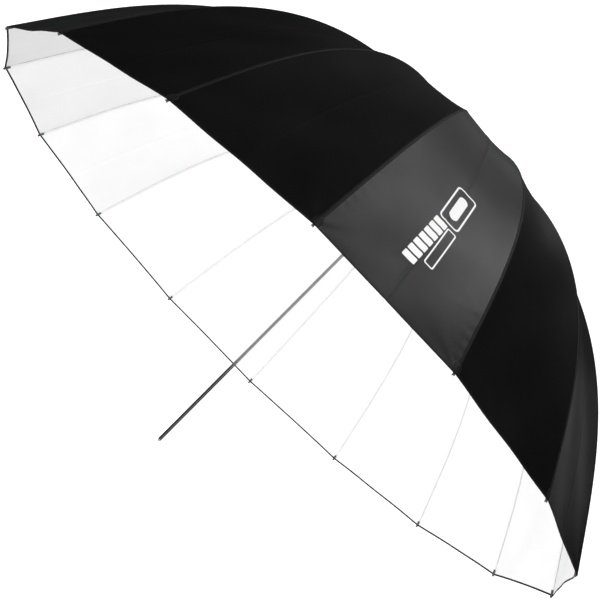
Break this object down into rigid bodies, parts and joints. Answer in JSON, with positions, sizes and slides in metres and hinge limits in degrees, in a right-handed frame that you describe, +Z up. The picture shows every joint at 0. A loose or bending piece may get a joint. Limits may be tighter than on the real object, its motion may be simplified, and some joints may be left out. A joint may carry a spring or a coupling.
{
  "type": "umbrella reflector",
  "caption": "Deep folding umbrella reflector, black outside and white inside, on a straight round shaft with ribs, stretchers and a sliding runner.",
  "frame": {"origin": "on the shaft's axis, at the middle of the length that a holder grips", "axes": "+Y along the shaft from the handle end to the crown, the opening faces -Y, +Z up"},
  "size_m": [1.6252, 0.9775, 1.6252],
  "materials": {
    "cloth_black": "black nylon with a soft sheen",
    "cloth_white": "matt white lining",
    "rib_fibreglass": "pale fibreglass rod with black fittings",
    "stretcher_steel": "satin black",
    "shaft_metal": "polished tube",
    "wire_steel": "plain wire",
    "tip_metal": "satin black",
    "black_plastic": "moulded",
    "grey_plastic": "moulded"
  },
  "bodies": {
    "root": {"shaft_tube": "shaft_metal", "shaft_end_plug": "grey_plastic", "crown_notch": "black_plastic", "crown_wire": "wire_steel", "crown_pin": "wire_steel", "crown_washer": "black_plastic", "ferrule": "tip_metal", "runner_stop": "shaft_metal", "canopy": "cloth_black"},
    "runner": {"runner_body": "black_plastic", "runner_grip": "black_plastic"},
    "catch": {"catch_button": "wire_steel"},
    "rib_inner_01": {"rib_inner_01": "rib_fibreglass"},
    "rib_outer_01": {"rib_outer_01": "rib_fibreglass"},
    "stretcher_01": {"stretcher_01": "stretcher_steel"},
    "rib_inner_02": {"rib_inner_02": "rib_fibreglass"},
    "rib_outer_02": {"rib_outer_02": "rib_fibreglass"},
    "stretcher_02": {"stretcher_02": "stretcher_steel"},
    "rib_inner_03": {"rib_inner_03": "rib_fibreglass"},
    "rib_outer_03": {"rib_outer_03": "rib_fibreglass"},
    "stretcher_03": {"stretcher_03": "stretcher_steel"},
    "rib_inner_04": {"rib_inner_04": "rib_fibreglass"},
    "rib_outer_04": {"rib_outer_04": "rib_fibreglass"},
    "stretcher_04": {"stretcher_04": "stretcher_steel"},
    "rib_inner_05": {"rib_inner_05": "rib_fibreglass"},
    "rib_outer_05": {"rib_outer_05": "rib_fibreglass"},
    "stretcher_05": {"stretcher_05": "stretcher_steel"},
    "rib_inner_06": {"rib_inner_06": "rib_fibreglass"},
    "rib_outer_06": {"rib_outer_06": "rib_fibreglass"},
    "stretcher_06": {"stretcher_06": "stretcher_steel"},
    "rib_inner_07": {"rib_inner_07": "rib_fibreglass"},
    "rib_outer_07": {"rib_outer_07": "rib_fibreglass"},
    "stretcher_07": {"stretcher_07": "stretcher_steel"},
    "rib_inner_08": {"rib_inner_08": "rib_fibreglass"},
    "rib_outer_08": {"rib_outer_08": "rib_fibreglass"},
    "stretcher_08": {"stretcher_08": "stretcher_steel"},
    "rib_inner_09": {"rib_inner_09": "rib_fibreglass"},
    "rib_outer_09": {"rib_outer_09": "rib_fibreglass"},
    "stretcher_09": {"stretcher_09": "stretcher_steel"},
    "rib_inner_10": {"rib_inner_10": "rib_fibreglass"},
    "rib_outer_10": {"rib_outer_10": "rib_fibreglass"},
    "stretcher_10": {"stretcher_10": "stretcher_steel"},
    "rib_inner_11": {"rib_inner_11": "rib_fibreglass"},
    "rib_outer_11": {"rib_outer_11": "rib_fibreglass"},
    "stretcher_11": {"stretcher_11": "stretcher_steel"},
    "rib_inner_12": {"rib_inner_12": "rib_fibreglass"},
    "rib_outer_12": {"rib_outer_12": "rib_fibreglass"},
    "stretcher_12": {"stretcher_12": "stretcher_steel"},
    "rib_inner_13": {"rib_inner_13": "rib_fibreglass"},
    "rib_outer_13": {"rib_outer_13": "rib_fibreglass"},
    "stretcher_13": {"stretcher_13": "stretcher_steel"},
    "rib_inner_14": {"rib_inner_14": "rib_fibreglass"},
    "rib_outer_14": {"rib_outer_14": "rib_fibreglass"},
    "stretcher_14": {"stretcher_14": "stretcher_steel"},
    "rib_inner_15": {"rib_inner_15": "rib_fibreglass"},
    "rib_outer_15": {"rib_outer_15": "rib_fibreglass"},
    "stretcher_15": {"stretcher_15": "stretcher_steel"},
    "rib_inner_16": {"rib_inner_16": "rib_fibreglass"},
    "rib_outer_16": {"rib_outer_16": "rib_fibreglass"},
    "stretcher_16": {"stretcher_16": "stretcher_steel"}
  },
  "joints": [
    {"name": "runner_slide", "type": "slide", "parent": "root", "child": "runner", "axis": [0, -1, 0], "range_m": [0, 0.4759], "deforming": ["canopy"]},
    {"name": "catch_press", "type": "slide", "parent": "root", "child": "catch", "axis": [0, 0, -1], "range_m": [0, 0.0022], "stiffness_N_per_m": 400, "springref_m": -0.002},
    {"name": "crown_hinge_01", "type": "hinge", "parent": "root", "child": "rib_inner_01", "pos_m": [0.01373, 0.86655, 0.00273], "axis": [0.1951, 0, -0.9808], "range_deg": [0, 65.4]},
    {"name": "rib_flex_01", "type": "hinge", "parent": "rib_inner_01", "child": "rib_outer_01", "pos_m": [0.49485, 0.69604, 0.09843], "axis": [-0.1951, 0, 0.9808], "range_deg": [0, 28]},
    {"name": "stretcher_hinge_01", "type": "hinge", "parent": "rib_inner_01", "child": "stretcher_01", "pos_m": [0.35416, 0.76949, 0.07045], "axis": [-0.1951, 0, 0.9808], "range_deg": [0, 121.95]},
    {"name": "crown_hinge_02", "type": "hinge", "parent": "root", "child": "rib_inner_02", "pos_m": [0.01164, 0.86655, 0.00778], "axis": [0.5556, 0, -0.8315], "range_deg": [0, 65.4]},
    {"name": "rib_flex_02", "type": "hinge", "parent": "rib_inner_02", "child": "rib_outer_02", "pos_m": [0.41951, 0.69604, 0.28031], "axis": [-0.5556, 0, 0.8315], "range_deg": [0, 28]},
    {"name": "stretcher_hinge_02", "type": "hinge", "parent": "rib_inner_02", "child": "stretcher_02", "pos_m": [0.30024, 0.76949, 0.20061], "axis": [-0.5556, 0, 0.8315], "range_deg": [0, 121.95]},
    {"name": "crown_hinge_03", "type": "hinge", "parent": "root", "child": "rib_inner_03", "pos_m": [0.00778, 0.86655, 0.01164], "axis": [0.8315, 0, -0.5556], "range_deg": [0, 65.4]},
    {"name": "rib_flex_03", "type": "hinge", "parent": "rib_inner_03", "child": "rib_outer_03", "pos_m": [0.28031, 0.69604, 0.41951], "axis": [-0.8315, 0, 0.5556], "range_deg": [0, 28]},
    {"name": "stretcher_hinge_03", "type": "hinge", "parent": "rib_inner_03", "child": "stretcher_03", "pos_m": [0.20061, 0.76949, 0.30024], "axis": [-0.8315, 0, 0.5556], "range_deg": [0, 121.95]},
    {"name": "crown_hinge_04", "type": "hinge", "parent": "root", "child": "rib_inner_04", "pos_m": [0.00273, 0.86655, 0.01373], "axis": [0.9808, 0, -0.1951], "range_deg": [0, 65.4]},
    {"name": "rib_flex_04", "type": "hinge", "parent": "rib_inner_04", "child": "rib_outer_04", "pos_m": [0.09843, 0.69604, 0.49485], "axis": [-0.9808, 0, 0.1951], "range_deg": [0, 28]},
    {"name": "stretcher_hinge_04", "type": "hinge", "parent": "rib_inner_04", "child": "stretcher_04", "pos_m": [0.07045, 0.76949, 0.35416], "axis": [-0.9808, 0, 0.1951], "range_deg": [0, 121.95]},
    {"name": "crown_hinge_05", "type": "hinge", "parent": "root", "child": "rib_inner_05", "pos_m": [-0.00273, 0.86655, 0.01373], "axis": [0.9808, 0, 0.1951], "range_deg": [0, 65.4]},
    {"name": "rib_flex_05", "type": "hinge", "parent": "rib_inner_05", "child": "rib_outer_05", "pos_m": [-0.09843, 0.69604, 0.49485], "axis": [-0.9808, 0, -0.1951], "range_deg": [0, 28]},
    {"name": "stretcher_hinge_05", "type": "hinge", "parent": "rib_inner_05", "child": "stretcher_05", "pos_m": [-0.07045, 0.76949, 0.35416], "axis": [-0.9808, 0, -0.1951], "range_deg": [0, 121.95]},
    {"name": "crown_hinge_06", "type": "hinge", "parent": "root", "child": "rib_inner_06", "pos_m": [-0.00778, 0.86655, 0.01164], "axis": [0.8315, 0, 0.5556], "range_deg": [0, 65.4]},
    {"name": "rib_flex_06", "type": "hinge", "parent": "rib_inner_06", "child": "rib_outer_06", "pos_m": [-0.28031, 0.69604, 0.41951], "axis": [-0.8315, 0, -0.5556], "range_deg": [0, 28]},
    {"name": "stretcher_hinge_06", "type": "hinge", "parent": "rib_inner_06", "child": "stretcher_06", "pos_m": [-0.20061, 0.76949, 0.30024], "axis": [-0.8315, 0, -0.5556], "range_deg": [0, 121.95]},
    {"name": "crown_hinge_07", "type": "hinge", "parent": "root", "child": "rib_inner_07", "pos_m": [-0.01164, 0.86655, 0.00778], "axis": [0.5556, 0, 0.8315], "range_deg": [0, 65.4]},
    {"name": "rib_flex_07", "type": "hinge", "parent": "rib_inner_07", "child": "rib_outer_07", "pos_m": [-0.41951, 0.69604, 0.28031], "axis": [-0.5556, 0, -0.8315], "range_deg": [0, 28]},
    {"name": "stretcher_hinge_07", "type": "hinge", "parent": "rib_inner_07", "child": "stretcher_07", "pos_m": [-0.30024, 0.76949, 0.20061], "axis": [-0.5556, 0, -0.8315], "range_deg": [0, 121.95]},
    {"name": "crown_hinge_08", "type": "hinge", "parent": "root", "child": "rib_inner_08", "pos_m": [-0.01373, 0.86655, 0.00273], "axis": [0.1951, 0, 0.9808], "range_deg": [0, 65.4]},
    {"name": "rib_flex_08", "type": "hinge", "parent": "rib_inner_08", "child": "rib_outer_08", "pos_m": [-0.49485, 0.69604, 0.09843], "axis": [-0.1951, 0, -0.9808], "range_deg": [0, 28]},
    {"name": "stretcher_hinge_08", "type": "hinge", "parent": "rib_inner_08", "child": "stretcher_08", "pos_m": [-0.35416, 0.76949, 0.07045], "axis": [-0.1951, 0, -0.9808], "range_deg": [0, 121.95]},
    {"name": "crown_hinge_09", "type": "hinge", "parent": "root", "child": "rib_inner_09", "pos_m": [-0.01373, 0.86655, -0.00273], "axis": [-0.1951, 0, 0.9808], "range_deg": [0, 65.4]},
    {"name": "rib_flex_09", "type": "hinge", "parent": "rib_inner_09", "child": "rib_outer_09", "pos_m": [-0.49485, 0.69604, -0.09843], "axis": [0.1951, 0, -0.9808], "range_deg": [0, 28]},
    {"name": "stretcher_hinge_09", "type": "hinge", "parent": "rib_inner_09", "child": "stretcher_09", "pos_m": [-0.35416, 0.76949, -0.07045], "axis": [0.1951, 0, -0.9808], "range_deg": [0, 121.95]},
    {"name": "crown_hinge_10", "type": "hinge", "parent": "root", "child": "rib_inner_10", "pos_m": [-0.01164, 0.86655, -0.00778], "axis": [-0.5556, 0, 0.8315], "range_deg": [0, 65.4]},
    {"name": "rib_flex_10", "type": "hinge", "parent": "rib_inner_10", "child": "rib_outer_10", "pos_m": [-0.41951, 0.69604, -0.28031], "axis": [0.5556, 0, -0.8315], "range_deg": [0, 28]},
    {"name": "stretcher_hinge_10", "type": "hinge", "parent": "rib_inner_10", "child": "stretcher_10", "pos_m": [-0.30024, 0.76949, -0.20061], "axis": [0.5556, 0, -0.8315], "range_deg": [0, 121.95]},
    {"name": "crown_hinge_11", "type": "hinge", "parent": "root", "child": "rib_inner_11", "pos_m": [-0.00778, 0.86655, -0.01164], "axis": [-0.8315, 0, 0.5556], "range_deg": [0, 65.4]},
    {"name": "rib_flex_11", "type": "hinge", "parent": "rib_inner_11", "child": "rib_outer_11", "pos_m": [-0.28031, 0.69604, -0.41951], "axis": [0.8315, 0, -0.5556], "range_deg": [0, 28]},
    {"name": "stretcher_hinge_11", "type": "hinge", "parent": "rib_inner_11", "child": "stretcher_11", "pos_m": [-0.20061, 0.76949, -0.30024], "axis": [0.8315, 0, -0.5556], "range_deg": [0, 121.95]},
    {"name": "crown_hinge_12", "type": "hinge", "parent": "root", "child": "rib_inner_12", "pos_m": [-0.00273, 0.86655, -0.01373], "axis": [-0.9808, 0, 0.1951], "range_deg": [0, 65.4]},
    {"name": "rib_flex_12", "type": "hinge", "parent": "rib_inner_12", "child": "rib_outer_12", "pos_m": [-0.09843, 0.69604, -0.49485], "axis": [0.9808, 0, -0.1951], "range_deg": [0, 28]},
    {"name": "stretcher_hinge_12", "type": "hinge", "parent": "rib_inner_12", "child": "stretcher_12", "pos_m": [-0.07045, 0.76949, -0.35416], "axis": [0.9808, 0, -0.1951], "range_deg": [0, 121.95]},
    {"name": "crown_hinge_13", "type": "hinge", "parent": "root", "child": "rib_inner_13", "pos_m": [0.00273, 0.86655, -0.01373], "axis": [-0.9808, 0, -0.1951], "range_deg": [0, 65.4]},
    {"name": "rib_flex_13", "type": "hinge", "parent": "rib_inner_13", "child": "rib_outer_13", "pos_m": [0.09843, 0.69604, -0.49485], "axis": [0.9808, 0, 0.1951], "range_deg": [0, 28]},
    {"name": "stretcher_hinge_13", "type": "hinge", "parent": "rib_inner_13", "child": "stretcher_13", "pos_m": [0.07045, 0.76949, -0.35416], "axis": [0.9808, 0, 0.1951], "range_deg": [0, 121.95]},
    {"name": "crown_hinge_14", "type": "hinge", "parent": "root", "child": "rib_inner_14", "pos_m": [0.00778, 0.86655, -0.01164], "axis": [-0.8315, 0, -0.5556], "range_deg": [0, 65.4]},
    {"name": "rib_flex_14", "type": "hinge", "parent": "rib_inner_14", "child": "rib_outer_14", "pos_m": [0.28031, 0.69604, -0.41951], "axis": [0.8315, 0, 0.5556], "range_deg": [0, 28]},
    {"name": "stretcher_hinge_14", "type": "hinge", "parent": "rib_inner_14", "child": "stretcher_14", "pos_m": [0.20061, 0.76949, -0.30024], "axis": [0.8315, 0, 0.5556], "range_deg": [0, 121.95]},
    {"name": "crown_hinge_15", "type": "hinge", "parent": "root", "child": "rib_inner_15", "pos_m": [0.01164, 0.86655, -0.00778], "axis": [-0.5556, 0, -0.8315], "range_deg": [0, 65.4]},
    {"name": "rib_flex_15", "type": "hinge", "parent": "rib_inner_15", "child": "rib_outer_15", "pos_m": [0.41951, 0.69604, -0.28031], "axis": [0.5556, 0, 0.8315], "range_deg": [0, 28]},
    {"name": "stretcher_hinge_15", "type": "hinge", "parent": "rib_inner_15", "child": "stretcher_15", "pos_m": [0.30024, 0.76949, -0.20061], "axis": [0.5556, 0, 0.8315], "range_deg": [0, 121.95]},
    {"name": "crown_hinge_16", "type": "hinge", "parent": "root", "child": "rib_inner_16", "pos_m": [0.01373, 0.86655, -0.00273], "axis": [-0.1951, 0, -0.9808], "range_deg": [0, 65.4]},
    {"name": "rib_flex_16", "type": "hinge", "parent": "rib_inner_16", "child": "rib_outer_16", "pos_m": [0.49485, 0.69604, -0.09843], "axis": [0.1951, 0, 0.9808], "range_deg": [0, 28]},
    {"name": "stretcher_hinge_16", "type": "hinge", "parent": "rib_inner_16", "child": "stretcher_16", "pos_m": [0.35416, 0.76949, -0.07045], "axis": [0.1951, 0, 0.9808], "range_deg": [0, 121.95]}
  ],
  "couplings": [
    {"joint": "crown_hinge_01", "follows": "runner_slide", "rad_per_m": 2.3985},
    {"joint": "rib_flex_01", "follows": "runner_slide", "rad_per_m": 1.0269},
    {"joint": "stretcher_hinge_01", "follows": "runner_slide", "rad_per_m": 4.4726},
    {"joint": "crown_hinge_02", "follows": "runner_slide", "rad_per_m": 2.3985},
    {"joint": "rib_flex_02", "follows": "runner_slide", "rad_per_m": 1.0269},
    {"joint": "stretcher_hinge_02", "follows": "runner_slide", "rad_per_m": 4.4726},
    {"joint": "crown_hinge_03", "follows": "runner_slide", "rad_per_m": 2.3985},
    {"joint": "rib_flex_03", "follows": "runner_slide", "rad_per_m": 1.0269},
    {"joint": "stretcher_hinge_03", "follows": "runner_slide", "rad_per_m": 4.4726},
    {"joint": "crown_hinge_04", "follows": "runner_slide", "rad_per_m": 2.3985},
    {"joint": "rib_flex_04", "follows": "runner_slide", "rad_per_m": 1.0269},
    {"joint": "stretcher_hinge_04", "follows": "runner_slide", "rad_per_m": 4.4726},
    {"joint": "crown_hinge_05", "follows": "runner_slide", "rad_per_m": 2.3985},
    {"joint": "rib_flex_05", "follows": "runner_slide", "rad_per_m": 1.0269},
    {"joint": "stretcher_hinge_05", "follows": "runner_slide", "rad_per_m": 4.4726},
    {"joint": "crown_hinge_06", "follows": "runner_slide", "rad_per_m": 2.3985},
    {"joint": "rib_flex_06", "follows": "runner_slide", "rad_per_m": 1.0269},
    {"joint": "stretcher_hinge_06", "follows": "runner_slide", "rad_per_m": 4.4726},
    {"joint": "crown_hinge_07", "follows": "runner_slide", "rad_per_m": 2.3985},
    {"joint": "rib_flex_07", "follows": "runner_slide", "rad_per_m": 1.0269},
    {"joint": "stretcher_hinge_07", "follows": "runner_slide", "rad_per_m": 4.4726},
    {"joint": "crown_hinge_08", "follows": "runner_slide", "rad_per_m": 2.3985},
    {"joint": "rib_flex_08", "follows": "runner_slide", "rad_per_m": 1.0269},
    {"joint": "stretcher_hinge_08", "follows": "runner_slide", "rad_per_m": 4.4726},
    {"joint": "crown_hinge_09", "follows": "runner_slide", "rad_per_m": 2.3985},
    {"joint": "rib_flex_09", "follows": "runner_slide", "rad_per_m": 1.0269},
    {"joint": "stretcher_hinge_09", "follows": "runner_slide", "rad_per_m": 4.4726},
    {"joint": "crown_hinge_10", "follows": "runner_slide", "rad_per_m": 2.3985},
    {"joint": "rib_flex_10", "follows": "runner_slide", "rad_per_m": 1.0269},
    {"joint": "stretcher_hinge_10", "follows": "runner_slide", "rad_per_m": 4.4726},
    {"joint": "crown_hinge_11", "follows": "runner_slide", "rad_per_m": 2.3985},
    {"joint": "rib_flex_11", "follows": "runner_slide", "rad_per_m": 1.0269},
    {"joint": "stretcher_hinge_11", "follows": "runner_slide", "rad_per_m": 4.4726},
    {"joint": "crown_hinge_12", "follows": "runner_slide", "rad_per_m": 2.3985},
    {"joint": "rib_flex_12", "follows": "runner_slide", "rad_per_m": 1.0269},
    {"joint": "stretcher_hinge_12", "follows": "runner_slide", "rad_per_m": 4.4726},
    {"joint": "crown_hinge_13", "follows": "runner_slide", "rad_per_m": 2.3985},
    {"joint": "rib_flex_13", "follows": "runner_slide", "rad_per_m": 1.0269},
    {"joint": "stretcher_hinge_13", "follows": "runner_slide", "rad_per_m": 4.4726},
    {"joint": "crown_hinge_14", "follows": "runner_slide", "rad_per_m": 2.3985},
    {"joint": "rib_flex_14", "follows": "runner_slide", "rad_per_m": 1.0269},
    {"joint": "stretcher_hinge_14", "follows": "runner_slide", "rad_per_m": 4.4726},
    {"joint": "crown_hinge_15", "follows": "runner_slide", "rad_per_m": 2.3985},
    {"joint": "rib_flex_15", "follows": "runner_slide", "rad_per_m": 1.0269},
    {"joint": "stretcher_hinge_15", "follows": "runner_slide", "rad_per_m": 4.4726},
    {"joint": "crown_hinge_16", "follows": "runner_slide", "rad_per_m": 2.3985},
    {"joint": "rib_flex_16", "follows": "runner_slide", "rad_per_m": 1.0269},
    {"joint": "stretcher_hinge_16", "follows": "runner_slide", "rad_per_m": 4.4726}
  ]
}
